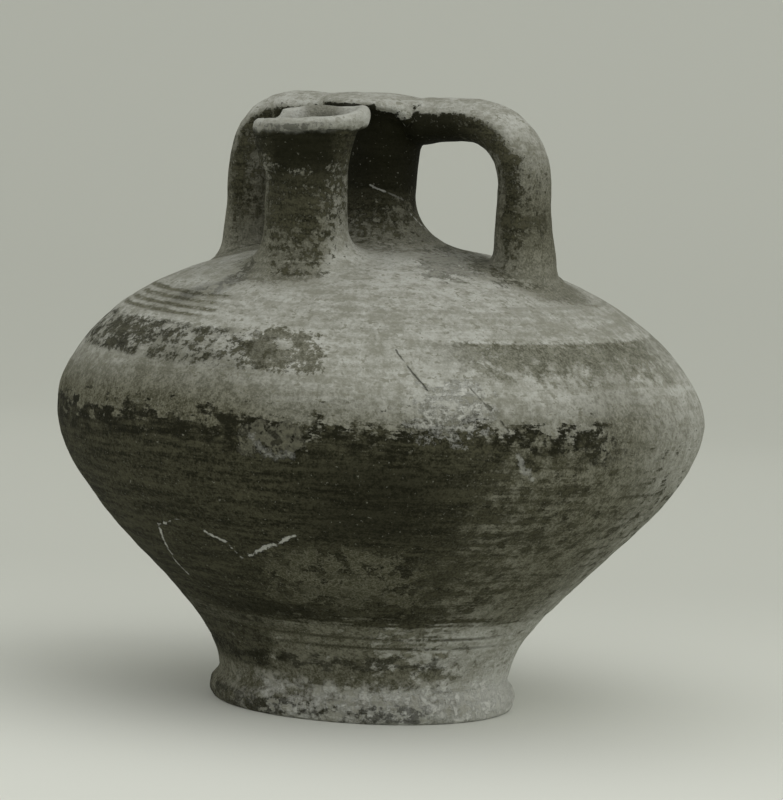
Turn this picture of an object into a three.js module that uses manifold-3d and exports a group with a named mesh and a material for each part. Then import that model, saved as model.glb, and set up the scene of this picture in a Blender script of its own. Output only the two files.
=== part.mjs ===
// A stirrup jar: a round clay jar with a closed false neck, two loop handles and a tubular spout.
// Millimetres, +Z up. The origin is the middle of the foot, on the surface that the jar stands on.
// The spout stands towards -Y and the handles lie along X.
// Each piece is what a potter throws, pulls or rolls before the pieces are joined with slip.

import * as THREE from 'three';
import { mergeVertices } from 'three/addons/utils/BufferGeometryUtils.js';
import Module from 'manifold-3d';

const wasm = await Module();
wasm.setup();

// Body, outside
const bellyRadius = 90;
const bellyHeight = 81.4;
const stemRadius = 40;
const stemHeight = 8.6;
const crownHeight = 128.1;

// Body curves: how far each curve runs on from its end before it turns
const stemFlare = 2.4;
const stemRise = 22.2;
const bellyFall = 28.2;
const bellyRise = 17.3;
const crownReach = 58.4;
const crownDip = 0.5;

// Body, inside
const wall = 5.5;
const floorThickness = 7;
const bellyLap = 5;

// Foot ring
const footRadius = 42.4;
const footBulgeHeight = 2.8;
const footSeatOuter = 41;
const footSeatInner = 33;
const footRecessTaper = 1.5;

// False neck and its disc, set a little to the left as the jar's maker set them
const neckShift = 2.2;
const neckRadius = 9.4;
const neckRootRadius = 11.6;
const neckTopRadius = 12.6;
const neckWaistRise = 15;
const neckPlugRadius = 7;
const neckPlugReach = 3;
const neckPegRadius = 5.5;
const neckPegLength = 3;
const discRadius = 16.5;
const discThickness = 5.4;
const discRim = 1.8;
const discRimRound = 1.5;
const discSink = 0.8;

// Handles
const stirrupRise = 40.9;
const handleThickness = 13;
const handleWidth = 19;
const armRadius = 42;
const armSplay = 2;
const bendRadius = 18;
const rootSwell = 2.4;
const rootSwellLength = 16;

// Spout
const spoutReach = 36;
const spoutTurn = THREE.MathUtils.degToRad(10);
const spoutLean = THREE.MathUtils.degToRad(3);
const spoutLength = 41;
const spoutBore = 7.25;
const spoutRootRadius = 12.4;
const spoutWaistRadius = 11.3;
const spoutWaistRise = 19;
const lipRadius = 16;
const lipThickness = 4.8;
const mouthInset = 2.2;
const funnelDepth = 15;

// Luting coils, smeared into the corners between the pieces
const spoutLutingWidth = 7;
const spoutLutingHeight = 8;
const neckLutingWidth = 8;
const neckLutingHeight = 9;
const handleLutingWidth = 7;
const handleLutingHeight = 11;
const lutingEdge = 0.5;

// Where a coil's hollow face turns, as shares of its width and of its height
const lutingTurnOut = 1 / 4;
const lutingTurnUp = 1 / 6;

// The film of slip between two pieces
const slip = 0.3;

// Facets
const bodySides = 48;
const stemSides = 28;
const handleSides = 20;
const coilSides = 24;
const bodySteps = 10;
const bendSteps = 8;
const smallSteps = 5;
const weldDistance = 1e-4;

// Heights that follow from the sizes above
const topHeight = crownHeight + stirrupRise;
const discTop = topHeight - discSink;
const discBase = discTop - discThickness;
const floorHeight = stemHeight + floorThickness;
const handleHeight = topHeight - handleThickness / 2;
const neckX = -neckShift;

// How far a cutting solid runs past what it cuts
const overrun = 12;

const point = (r, z) => new THREE.Vector2(r, z);

// The outside of the body, from the foot up to the belly and from the belly up to the crown
const lowerCurve = new THREE.CubicBezierCurve(
  point(stemRadius, stemHeight),
  point(stemRadius + stemFlare, stemHeight + stemRise),
  point(bellyRadius, bellyHeight - bellyFall),
  point(bellyRadius, bellyHeight),
);
const upperCurve = new THREE.CubicBezierCurve(
  point(bellyRadius, bellyHeight),
  point(bellyRadius, bellyHeight + bellyRise),
  point(crownReach, crownHeight - crownDip),
  point(0, crownHeight),
);

// Points along a curve, moved outwards by a distance, or inwards where it is negative
function offset(curve, distance, steps) {
  const points = [];
  for (let i = 0; i <= steps; i += 1) {
    const t = i / steps;
    const place = curve.getPoint(t);
    const along = curve.getTangent(t);
    points.push(point(place.x + along.y * distance, place.y - along.x * distance));
  }
  return points;
}

// Height of the shoulder's outside at a given radius, by halving the curve
const halvings = 40;
function shoulderHeight(radius) {
  let low = 0;
  let high = 1;
  for (let i = 0; i < halvings; i += 1) {
    const middle = (low + high) / 2;
    if (upperCurve.getPoint(middle).x > radius) low = middle;
    else high = middle;
  }
  return upperCurve.getPoint(low).y;
}

// A solid turned about Z from an outline that runs up its outside and down its inside
function revolve(outline, sides) {
  const geometry = new THREE.LatheGeometry(outline, sides);
  geometry.rotateX(Math.PI / 2);
  return geometry;
}

// A solid skinned over rings of points, closed by a fan at each end
function loft(rings) {
  const sides = rings[0].length;
  const corners = [];
  rings.forEach((ring) => ring.forEach((p) => corners.push(p.x, p.y, p.z)));
  const faces = [];
  for (let i = 0; i + 1 < rings.length; i += 1) {
    for (let j = 0; j < sides; j += 1) {
      const a = i * sides + j;
      const b = i * sides + ((j + 1) % sides);
      faces.push(a, a + sides, b, b, a + sides, b + sides);
    }
  }
  [rings[0], rings.at(-1)].forEach((ring, end) => {
    const middle = ring.reduce((sum, p) => sum.add(p), new THREE.Vector3()).divideScalar(sides);
    const hub = corners.length / 3;
    corners.push(middle.x, middle.y, middle.z);
    const start = end === 0 ? 0 : (rings.length - 1) * sides;
    for (let j = 0; j < sides; j += 1) {
      const a = start + j;
      const b = start + ((j + 1) % sides);
      if (end === 0) faces.push(hub, a, b);
      else faces.push(hub, b, a);
    }
  });
  const geometry = new THREE.BufferGeometry();
  geometry.setAttribute('position', new THREE.Float32BufferAttribute(corners, 3));
  geometry.setIndex(faces);
  return geometry;
}

// A closed geometry as a solid that can be joined and cut
function solidOf(geometry) {
  const bare = new THREE.BufferGeometry();
  bare.setAttribute('position', geometry.getAttribute('position'));
  bare.setIndex(geometry.getIndex());
  const merged = mergeVertices(bare, weldDistance);
  const corners = merged.getIndex().array;
  const triangles = [];
  for (let i = 0; i < corners.length; i += 3) {
    const [a, b, c] = corners.slice(i, i + 3);
    if (a !== b && b !== c && c !== a) triangles.push(a, b, c);
  }
  return new wasm.Manifold(new wasm.Mesh({
    numProp: 3,
    vertProperties: new Float32Array(merged.getAttribute('position').array),
    triVerts: new Uint32Array(triangles),
  }));
}

// A solid back as a geometry
function geometryOf(solid) {
  const { vertProperties, triVerts } = solid.getMesh();
  const geometry = new THREE.BufferGeometry();
  geometry.setAttribute('position', new THREE.BufferAttribute(new Float32Array(vertProperties), 3));
  geometry.setIndex(new THREE.BufferAttribute(new Uint32Array(triVerts), 1));
  geometry.computeVertexNormals();
  return geometry;
}

// Clay finishes
const paleClay = { color: 0x8f9084, roughness: 0.92, metalness: 0 };
const paintedClay = { color: 0x3a392c, roughness: 0.8, metalness: 0 };
const wornClay = { color: 0x6b6a5c, roughness: 0.88, metalness: 0 };

const jar = new THREE.Group();

function addPiece(name, geometry, finish) {
  const piece = new THREE.Mesh(geometry, new THREE.MeshStandardMaterial(finish));
  piece.name = name;
  jar.add(piece);
}

// Foot ring: a bulged moulding with a flat seat, hollowed under the floor
function footRing() {
  const top = stemHeight - slip;
  const below = new THREE.EllipseCurve(
    footSeatOuter, footBulgeHeight, footRadius - footSeatOuter, footBulgeHeight, -Math.PI / 2, 0,
  );
  const above = new THREE.EllipseCurve(
    stemRadius, footBulgeHeight, footRadius - stemRadius, top - footBulgeHeight, 0, Math.PI / 2,
  );
  const outline = [
    point(footSeatInner, 0),
    ...below.getPoints(smallSteps),
    ...above.getPoints(smallSteps).slice(1),
    point(footSeatInner - footRecessTaper, top),
    point(footSeatInner, 0),
  ];
  return revolve(outline, bodySides);
}

// Lower body: a bowl whose rim has an inner tongue that the shoulder laps over
function lowerBody() {
  const tongueOuter = bellyRadius - wall / 2;
  const inside = offset(lowerCurve, -wall, bodySteps).filter((p) => p.y > floorHeight);
  const outline = [
    point(0, stemHeight),
    ...offset(lowerCurve, 0, bodySteps),
    point(tongueOuter, bellyHeight),
    point(tongueOuter, bellyHeight + bellyLap),
    point(bellyRadius - wall, bellyHeight + bellyLap),
    ...inside.reverse(),
    point(inside.at(-1).x - wall / 2, floorHeight),
    point(0, floorHeight),
  ];
  return revolve(outline, bodySides);
}

// The room that the body fills under its shoulder, grown by the slip for the cuts that seat on it
function shoulderCore(grow) {
  const outline = [
    point(0, bellyHeight - overrun),
    point(bellyRadius + grow, bellyHeight - overrun),
    ...offset(upperCurve, grow, bodySteps).slice(0, -1),
    point(0, crownHeight + grow),
  ];
  return solidOf(revolve(outline, bodySides));
}

// The spout's axis: its root on the shoulder, and a turn that leans it away from the neck
const spoutRootHeight = shoulderHeight(spoutReach);
function placeOnSpout(geometry) {
  geometry.rotateX(spoutLean);
  geometry.translate(0, -spoutReach, spoutRootHeight);
  geometry.rotateZ(-spoutTurn);
  return geometry;
}

// A round hole through the shoulder's wall, upright about Z, with its middle on the outside
function wallHole(radius) {
  const hole = new THREE.CylinderGeometry(radius, radius, 2 * (wall + overrun), stemSides);
  return hole.rotateX(Math.PI / 2);
}

// Shoulder: a dome with a rim that laps the bowl's tongue, pierced for the spout and the neck's plug
function shoulder() {
  const lapInner = bellyRadius - wall / 2 + slip;
  const lapTop = bellyHeight + bellyLap + slip;
  const inside = offset(upperCurve, -wall, bodySteps).filter((p) => p.y > lapTop && p.x > 0);
  const outline = [
    point(lapInner, bellyHeight + slip),
    ...offset(upperCurve, 0, bodySteps).map((p) => point(p.x, Math.max(p.y, bellyHeight + slip))),
    point(0, crownHeight - wall),
    ...inside.reverse(),
    point(inside.at(-1).x, lapTop),
    point(lapInner, lapTop),
    point(lapInner, bellyHeight + slip),
  ];
  const spoutHole = placeOnSpout(wallHole(spoutBore));
  const plugHole = wallHole(neckPlugRadius + slip).translate(neckX, 0, crownHeight);
  return solidOf(revolve(outline, bodySides))
    .subtract(solidOf(spoutHole))
    .subtract(solidOf(plugHole));
}

// False neck: a waisted stem with a plug below for the crown and a peg above for the disc
function neckStem(grow) {
  const waist = crownHeight + neckWaistRise;
  const top = discBase - slip + grow;
  const lower = new THREE.CubicBezierCurve(
    point(neckRootRadius, crownHeight),
    point(neckRadius, crownHeight + neckWaistRise / 3),
    point(neckRadius, waist - neckWaistRise / 3),
    point(neckRadius, waist),
  );
  const flare = (top - waist) / 2;
  const upper = new THREE.CubicBezierCurve(
    point(neckRadius, waist),
    point(neckRadius, waist + flare),
    point(neckRadius, top - flare / 2),
    point(neckTopRadius, top),
  );
  const outline = [
    point(0, crownHeight - overrun),
    point(neckRootRadius + grow, crownHeight - overrun),
    ...offset(lower, grow, smallSteps),
    ...offset(upper, grow, smallSteps).slice(1, -1),
    point(neckTopRadius + grow, top),
    point(0, top),
  ];
  return solidOf(revolve(outline, stemSides).translate(neckX, 0, 0));
}

function upright(radius, low, high) {
  const outline = [point(0, low), point(radius, low), point(radius, high), point(0, high)];
  return solidOf(revolve(outline, stemSides).translate(neckX, 0, 0));
}

function falseNeck() {
  const plugFoot = crownHeight - wall - neckPlugReach;
  const pegTop = discBase + neckPegLength;
  return neckStem(0)
    .subtract(shoulderCore(slip))
    .add(upright(neckPlugRadius, plugFoot, crownHeight + 2 * slip))
    .add(upright(neckPegRadius, discBase - 2 * slip, pegTop));
}

// Disc: a low dome with a rounded rim and a socket below for the neck's peg
function neckDisc() {
  const dome = new THREE.CubicBezierCurve(
    point(discRadius, discBase + discRim),
    point(discRadius, discBase + 2 * discRim),
    point(discRadius / 2, discTop),
    point(0, discTop),
  );
  const outline = [
    point(0, discBase),
    point(discRadius - discRimRound, discBase),
    ...dome.getPoints(smallSteps),
  ];
  const socket = upright(neckPegRadius + slip, discBase - overrun, discBase + neckPegLength + slip);
  return solidOf(revolve(outline, stemSides).translate(neckX, 0, 0)).subtract(socket);
}

// The room that the disc keeps clear of the handles' ends, open above
function discCore() {
  return upright(discRadius + slip, discBase - slip, topHeight + overrun);
}

// A handle's middle line in its own upright plane: out from the neck, round the bend, down the arm
function handleLine() {
  const bendX = armRadius - bendRadius;
  const bendZ = handleHeight - bendRadius;
  const rootX = armRadius + armSplay;
  const rootZ = shoulderHeight(rootX);
  const bend = new THREE.EllipseCurve(bendX, bendZ, bendRadius, bendRadius, Math.PI / 2, 0, true);
  const arm = new THREE.QuadraticBezierCurve(
    point(armRadius, bendZ),
    point(armRadius, (bendZ + rootZ) / 2),
    point(rootX, rootZ),
  );
  const drop = arm.getTangent(1).multiplyScalar(overrun);
  return {
    rootZ,
    points: [
      point(neckRadius / 2, handleHeight),
      point((neckRadius / 2 + bendX) / 2, handleHeight),
      ...bend.getPoints(bendSteps),
      ...arm.getPoints(bendSteps).slice(1),
      point(rootX + drop.x, rootZ + drop.y),
    ],
  };
}

// An oval ring across the middle line, in the plane of its normal and Y
function ovalRing(place, normal, halfThickness, halfWidth, side) {
  const ring = [];
  for (let j = 0; j < handleSides; j += 1) {
    const angle = (2 * Math.PI * j * side) / handleSides;
    const out = halfThickness * Math.cos(angle);
    ring.push(new THREE.Vector3(
      side * (place.x + normal.x * out),
      halfWidth * Math.sin(angle),
      place.y + normal.y * out,
    ));
  }
  return ring;
}

function normalsOf(points) {
  return points.map((p, i) => {
    const before = points[Math.max(i - 1, 0)];
    const after = points[Math.min(i + 1, points.length - 1)];
    const along = after.clone().sub(before).normalize();
    return point(-along.y, along.x);
  });
}

// The clay thickens towards the root, where it is pressed onto the shoulder
function swellAt(rise) {
  const nearness = THREE.MathUtils.clamp(1 - rise / rootSwellLength, 0, 1);
  return rootSwell * nearness * nearness;
}

function handleSolid(side, grow) {
  const { points, rootZ } = handleLine();
  const normals = normalsOf(points);
  const rings = points.map((p, i) => {
    const swell = swellAt(p.y - rootZ) + grow;
    return ovalRing(p, normals[i], handleThickness / 2 + swell, handleWidth / 2 + swell, side);
  });
  return solidOf(loft(rings));
}

function handle(side) {
  return handleSolid(side, 0)
    .subtract(shoulderCore(slip))
    .subtract(neckStem(slip))
    .subtract(discCore());
}

// Spout: a waisted tube with a rolled lip, a funnel mouth and a plain bore
function spoutOutside(grow) {
  const lipUnder = spoutLength - lipThickness;
  const lower = new THREE.CubicBezierCurve(
    point(spoutRootRadius, 0),
    point(spoutWaistRadius, spoutWaistRise / 3),
    point(spoutWaistRadius, (spoutWaistRise * 2) / 3),
    point(spoutWaistRadius, spoutWaistRise),
  );
  const rise = lipUnder - spoutWaistRise;
  const upper = new THREE.CubicBezierCurve(
    point(spoutWaistRadius, spoutWaistRise),
    point(spoutWaistRadius, spoutWaistRise + rise / 2),
    point(spoutWaistRadius, lipUnder - rise / 4),
    point(lipRadius - lipThickness / 2, lipUnder),
  );
  return [
    point(spoutRootRadius + grow, -overrun),
    ...offset(lower, grow, smallSteps),
    ...offset(upper, grow, smallSteps).slice(1),
  ];
}

function spout() {
  const lipRound = lipThickness / 2;
  const mouthRadius = lipRadius - lipRound - mouthInset;
  const lip = new THREE.EllipseCurve(
    lipRadius - lipRound, spoutLength - lipRound, lipRound, lipRound, -Math.PI / 2, Math.PI / 2,
  );
  const funnel = new THREE.CubicBezierCurve(
    point(mouthRadius, spoutLength - lipRound / 2),
    point(mouthRadius - lipRound / 2, spoutLength - funnelDepth / 2),
    point(spoutBore, spoutLength - funnelDepth / 2),
    point(spoutBore, spoutLength - funnelDepth),
  );
  const outline = [
    ...spoutOutside(0),
    ...lip.getPoints(smallSteps).slice(1),
    ...funnel.getPoints(smallSteps),
    point(spoutBore, -overrun),
    point(spoutRootRadius, -overrun),
  ];
  return solidOf(placeOnSpout(revolve(outline, stemSides))).subtract(shoulderCore(slip));
}

// The room that the spout takes, without its bore, for the coil round its root
function spoutCore() {
  const outside = spoutOutside(slip);
  return solidOf(placeOnSpout(revolve([
    point(0, -overrun),
    ...outside,
    point(0, outside.at(-1).y),
  ], stemSides)));
}

// A coil of clay in the corner between the shoulder and a piece that stands on it. Its hollow face
// falls from the piece's side to a thin edge, and follows the shoulder all the way round.
function lutingCoil(centre, top, foot, height) {
  const rings = [];
  const addRing = (spread, rise) => {
    const ring = [];
    for (let j = 0; j < coilSides; j += 1) {
      const angle = (2 * Math.PI * j) / coilSides;
      const x = centre.x + THREE.MathUtils.lerp(top.x, foot.x, spread) * Math.cos(angle);
      const y = centre.y + THREE.MathUtils.lerp(top.y, foot.y, spread) * Math.sin(angle);
      ring.push(new THREE.Vector3(x, y, shoulderHeight(Math.hypot(x, y)) + rise));
    }
    rings.push(ring);
  };
  const face = new THREE.QuadraticBezierCurve(
    point(0, height),
    point(lutingTurnOut, height * lutingTurnUp),
    point(1, 0),
  );
  face.getPoints(smallSteps).forEach((step) => addRing(step.x, step.y));
  addRing(1, -overrun);
  return solidOf(loft(rings)).subtract(shoulderCore(slip));
}

function roundCoil(centre, topRadius, footRadius, height) {
  const top = topRadius + slip + lutingEdge;
  return lutingCoil(centre, point(top, top), point(footRadius, footRadius), height);
}

const spoutRoot = point(-spoutReach * Math.sin(spoutTurn), -spoutReach * Math.cos(spoutTurn));
const spoutLutingFoot = spoutRootRadius + spoutLutingWidth;

function spoutLuting() {
  return roundCoil(spoutRoot, spoutRootRadius, spoutLutingFoot, spoutLutingHeight).subtract(spoutCore());
}

// The neck's coil is smeared over first, so it ends where the spout's coil stands
function neckLuting() {
  const foot = neckRootRadius + neckLutingWidth;
  const spoutRoom = new THREE.CylinderGeometry(
    spoutLutingFoot + slip, spoutLutingFoot + slip, 2 * (neckLutingHeight + overrun), coilSides,
  );
  spoutRoom.rotateX(Math.PI / 2).translate(spoutRoot.x, spoutRoot.y, spoutRootHeight);
  return roundCoil(point(neckX, 0), neckRadius, foot, neckLutingHeight)
    .subtract(neckStem(slip))
    .subtract(solidOf(spoutRoom));
}

function handleLuting(side) {
  const root = point(side * (armRadius + armSplay), 0);
  const edge = swellAt(handleLutingHeight) + slip + lutingEdge;
  const top = point(handleThickness / 2 + edge, handleWidth / 2 + edge);
  const reach = rootSwell + handleLutingWidth;
  const foot = point(handleThickness / 2 + reach, handleWidth / 2 + reach);
  return lutingCoil(root, top, foot, handleLutingHeight).subtract(handleSolid(side, slip));
}

addPiece('foot_ring', footRing(), wornClay);
addPiece('lower_body', lowerBody(), paintedClay);
addPiece('shoulder', geometryOf(shoulder()), paleClay);
addPiece('false_neck', geometryOf(falseNeck()), paintedClay);
addPiece('neck_disc', geometryOf(neckDisc()), wornClay);
addPiece('left_handle', geometryOf(handle(-1)), paintedClay);
addPiece('right_handle', geometryOf(handle(1)), paintedClay);
addPiece('spout', geometryOf(spout()), paintedClay);
addPiece('spout_luting', geometryOf(spoutLuting()), wornClay);
addPiece('neck_luting', geometryOf(neckLuting()), wornClay);
addPiece('left_handle_luting', geometryOf(handleLuting(-1)), wornClay);
addPiece('right_handle_luting', geometryOf(handleLuting(1)), wornClay);

export default jar;
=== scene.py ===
# %% [markdown]
# # A painted stirrup jar
# This lesson dresses a solid model of an old clay jar. The jar's middle neck is false: a disc
# closes it, and two handles run from the disc down to the shoulder, like a stirrup. Oil goes in
# and out through the spout alone.
#
# The solid model fixes every size. What it lacks is the look of the real thing: the wheel's
# ridges, clay smeared into the corners with a thumb, dark paint in bands, and the wear of
# centuries. We load the model first, because everything else is placed in its frame.

# %% Load the solid model
from math import cos, pi, radians, sin

import bpy
import numpy as np
from mathutils import Matrix, Vector, noise


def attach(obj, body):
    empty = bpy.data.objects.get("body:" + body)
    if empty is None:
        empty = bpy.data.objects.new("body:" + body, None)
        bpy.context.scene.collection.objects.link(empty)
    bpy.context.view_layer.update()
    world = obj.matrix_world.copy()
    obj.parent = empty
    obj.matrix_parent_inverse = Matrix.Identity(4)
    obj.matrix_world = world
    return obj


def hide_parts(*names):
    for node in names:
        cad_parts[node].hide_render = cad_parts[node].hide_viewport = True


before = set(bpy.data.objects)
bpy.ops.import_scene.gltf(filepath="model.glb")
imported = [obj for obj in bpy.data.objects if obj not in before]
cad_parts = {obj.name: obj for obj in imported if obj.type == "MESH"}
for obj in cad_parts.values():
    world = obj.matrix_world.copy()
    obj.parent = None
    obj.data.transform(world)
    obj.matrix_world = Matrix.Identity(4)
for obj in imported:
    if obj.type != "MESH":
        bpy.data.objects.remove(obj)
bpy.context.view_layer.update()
MM = 0.001

# %% [markdown]
# ## The camera
# A long lens stands a little higher than the disc, a good metre away, and is rolled by three
# degrees, so that the jar seems to lean. Blender's own camera helpers could aim it, but a
# matrix built from three axes states the roll plainly, and the same axes later tell us which
# point of the jar lies under a pixel of the picture.

# %% Camera
IMAGE_SIZE = np.array([783, 800])
FOCAL_PIXELS = 4172
CAMERA_REACH = 1150
CAMERA_HEIGHT = 190
CAMERA_TURN = radians(27)
CAMERA_ROLL = radians(3.1)
AIM = np.array([0, 0, 85.0])
AIM_PIXEL = np.array([378.2, 395.8])
SENSOR = 24


def unit(vectors):
    return vectors / np.linalg.norm(vectors, axis=-1, keepdims=True)


camera_way = np.array([sin(CAMERA_TURN), -cos(CAMERA_TURN), 0])
camera_place = CAMERA_REACH * camera_way + [0, 0, CAMERA_HEIGHT]


def camera_axes(target):
    ahead = unit(target - camera_place)
    level = unit(np.cross(ahead, [0, 0, 1]))
    upright = np.cross(level, ahead)
    right = cos(CAMERA_ROLL) * level + sin(CAMERA_ROLL) * upright
    up = cos(CAMERA_ROLL) * upright - sin(CAMERA_ROLL) * level
    return right, up, ahead


right, up, ahead = camera_axes(AIM)
aside, below = (IMAGE_SIZE / 2 - AIM_PIXEL) * np.linalg.norm(AIM - camera_place) / FOCAL_PIXELS
right, up, ahead = camera_axes(AIM + aside * right - below * up)

lens = bpy.data.cameras.new("camera")
lens.sensor_fit = "VERTICAL"
lens.sensor_height = SENSOR
lens.lens = FOCAL_PIXELS * SENSOR / IMAGE_SIZE[1]
camera = bpy.data.objects.new("camera", lens)
camera_turn = Matrix((right, up, -ahead)).transposed().to_4x4()
camera.matrix_world = Matrix.Translation(camera_place * MM) @ camera_turn
bpy.context.scene.collection.objects.link(camera)
bpy.context.scene.camera = camera
print("lens, mm:", round(lens.lens, 1))

# %% [markdown]
# ## The outlines
# A potter sees a jar as a few outlines. The body is two curves that meet at the belly. The
# neck, the disc, the spout and the foot are turned too, and a handle is a bent line with an
# oval section. We could trace each outline as a long list of points, but a Bezier curve needs
# only four, and it says where the clay turns.

# %% Body outline
BELLY = (90, 81.4)
STEM = (40, 8.6)
CROWN = (0, 128.1)
WALL = 5.5
FLOOR = 15.6
LAP = 5


def bezier(a, b, c, d, steps=60):
    t = np.linspace(0, 1, steps + 1)[:, None]
    a, b, c, d = (np.array(p, float) for p in (a, b, c, d))
    return (1 - t) ** 3 * a + 3 * t * (1 - t) ** 2 * b + 3 * t**2 * (1 - t) * c + t**3 * d


def evenly(line, spacing):
    """The same line with its points at equal steps along it."""
    line = np.array(line, float)
    run = np.concatenate([[0], np.cumsum(np.linalg.norm(np.diff(line, axis=0), axis=1))])
    steps = np.linspace(0, run[-1], max(2, int(round(run[-1] / spacing)) + 1))
    return np.stack([np.interp(steps, run, line[:, i]) for i in range(line.shape[1])], 1)


lower_line = bezier(STEM, (42.4, 30.8), (90, 53.2), BELLY)
upper_line = bezier(BELLY, (90, 98.7), (58.4, 127.6), CROWN)
body_line = evenly(np.vstack([lower_line, upper_line[1:]]), 2)
print("body outline:", len(body_line), "points,", lower_line[-1], "to", upper_line[-1])


def shoulder_height(radius):
    return float(np.interp(radius, upper_line[::-1, 0], upper_line[::-1, 1]))


# %% Neck, disc and spout outlines
NECK_X = -2.9
neck_line = np.vstack([
    bezier((12.1, 116), (10.9, 126), (10, 132), (10.1, 143), 12),
    bezier((10.1, 143), (10.1, 150), (10.6, 156), (12.9, 163), 12)[1:],
    [(0.6, 163.6)],
])
disc_line = np.vstack([
    [(0.6, 162.6), (9, 162.6), (14, 163.3)],
    bezier((15.6, 163.7), (16.6, 164.3), (16.7, 165.6), (15.6, 166.2), 6),
    bezier((15, 166.5), (11, 167.8), (6, 168.5), (0.6, 168.6), 8),
])
SPOUT_REACH = 36
SPOUT_TURN = radians(10)
SPOUT_LEAN = radians(3)
SPOUT_TOP = 41
SPOUT_ROOT = -7
SPOUT_BORE = 7.25
spout_outside = np.vstack([
    bezier((12.2, SPOUT_ROOT), (11.3, 4), (10.9, 10), (10.9, 18), 12),
    bezier((10.9, 18), (10.9, 26), (12, 31), (14.2, 35.8), 12)[1:],
])
lip_round = bezier((14.3, 36), (16.5, 36.3), (16.3, 41.4), (13.6, 41), 14)
spout_inside = np.vstack([
    bezier((13.4, 41), (11.4, 41.2), (11, 37), (10.4, 35), 8)[1:],
    bezier((10.4, 35), (9, 30), (SPOUT_BORE, 29), (SPOUT_BORE, 25), 8)[1:],
])
print("neck", neck_line[-2], "disc", disc_line[5], "lip", lip_round[7])

# %% [markdown]
# The handle's line lies in the upright plane through both handles. It starts inside the neck,
# runs out level under the disc's edge, turns down and spreads a little at its root.

# %% Handle line
BAR_HEIGHT = 162.7
BEND = 17.5
ROOT_DEPTH = 7


def handle_line(arm_x, splay, sag, corner):
    """Middle line as (distance from the jar's axis, height). A small corner makes a square bend."""
    bar = BAR_HEIGHT - sag
    foot_x = arm_x + splay
    foot = shoulder_height(foot_x)
    bend_low = bar - BEND * 1.05
    inner = bezier((2, bar - 2.6), (8, bar - 2.2), (12, bar), (arm_x - BEND, bar), 10)
    over = (arm_x - BEND * corner, bar)
    down = (arm_x, bar - BEND * corner)
    bend = bezier((arm_x - BEND, bar), over, down, (arm_x, bend_low), 16)
    arm = bezier((arm_x, bend_low), (arm_x, bend_low - 9), (foot_x - 1, foot + 8), (foot_x, foot), 12)
    root = arm[-1] + unit(arm[-1] - arm[-2]) * ROOT_DEPTH
    return evenly(np.vstack([inner, bend[1:], arm[1:], root]), 1.1)


RIGHT_ARM = 41.2
LEFT_ARM = 42.4
handle_lines = {
    1: handle_line(RIGHT_ARM, splay=2, sag=0, corner=0.4),
    -1: handle_line(LEFT_ARM, splay=1, sag=0.9, corner=0.23),
}
print("handle line:", len(handle_lines[1]), "points")

# %% [markdown]
# A handle's section is an oval. It starts narrow where it is buried in the neck, its arm is a
# little thicker than the bar, and the right arm swells towards its root. One function of the
# place gives both sizes, so the mesh and the distance field below agree.

# %% Handle section
BURIED_X = 2
FULL_X = 11
LEAST_TAPER = 0.2
BAR_HALF = 6.0
ARM_EXTRA = 0.7
ARM_TOP = 158
ARM_RUN = 14
HALF_WIDTH = 9.8
ROOT_SWELL = {1: 1.2, -1: 0}
SWELL_TOP = 141
SWELL_RUN = 15


def half_sizes(side, x, z):
    """Half thickness and half width of a handle at a distance x from the jar's axis."""
    taper = np.clip((x - BURIED_X) / (FULL_X - BURIED_X), LEAST_TAPER, 1)
    swell = ROOT_SWELL[side] * np.clip((SWELL_TOP - z) / SWELL_RUN, 0, 1)
    thick = BAR_HALF + ARM_EXTRA * np.clip((ARM_TOP - z) / ARM_RUN, 0, 1) + swell
    return thick * taper, (HALF_WIDTH + swell) * taper


print("right arm, half thickness and half width, mm:", half_sizes(1, RIGHT_ARM, SWELL_TOP))

# %% [markdown]
# ## Smeared joints
# When a potter lutes a handle to the shoulder, a thumb smears wet clay into the corner, and
# no edge is left. We could boolean the pieces together and bevel the seam, but then the jar
# would be one lump. Instead every piece stays its own mesh, and only its skin is moved.
#
# For that we need the distance from any point to each piece, less than zero inside. Two
# distances joined by a smooth minimum give a field whose zero surface runs round the corner
# in a fillet. Points near a joint are pushed onto that surface, so two pieces meet along it.

# %% Distances to the pieces
TINY = 1e-6


def distance_to_line(across, height, line):
    """Signed distance beside an outline that runs with the clay on its left."""
    best = np.full(across.shape, np.inf)
    side = np.zeros_like(best)
    for (r0, z0), (r1, z1) in zip(line[:-1], line[1:]):
        length = np.hypot(r1 - r0, z1 - z0)
        dr, dz = (r1 - r0) / length, (z1 - z0) / length
        reach = np.clip((across - r0) * dr + (height - z0) * dz, 0, length)
        gap_r, gap_z = across - r0 - reach * dr, height - z0 - reach * dz
        gap = np.hypot(gap_r, gap_z)
        facing = gap_r * dz - gap_z * dr
        # two stretches are equally near a corner, and the one faced more squarely gives the side
        nearer = (gap < best - TINY) | ((gap < best + TINY) & (np.abs(facing) > np.abs(side)))
        side = np.where(nearer, facing, side)
        best = np.minimum(best, gap)
    return np.where(side > 0, best, -best)


def turned_distance(line, axis_x):
    return lambda p: distance_to_line(np.hypot(p[:, 0] - axis_x, p[:, 1]), p[:, 2], line)


def handle_distance(side):
    line = evenly(handle_lines[side], 4)

    def distance(p):
        off_line = np.abs(distance_to_line(side * p[:, 0], p[:, 2], line))
        thick, wide = half_sizes(side, side * p[:, 0], p[:, 2])
        oval = np.hypot(off_line / thick, p[:, 1] / wide) + TINY
        slope = np.hypot(off_line / thick**2, p[:, 1] / wide**2) + TINY
        return (oval - 1) * oval / slope

    return distance


belly_middle = np.array([[0, 0, BELLY[1]]])
print("from the belly's middle to its wall, mm:", turned_distance(body_line, 0)(belly_middle).round(1))

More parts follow.
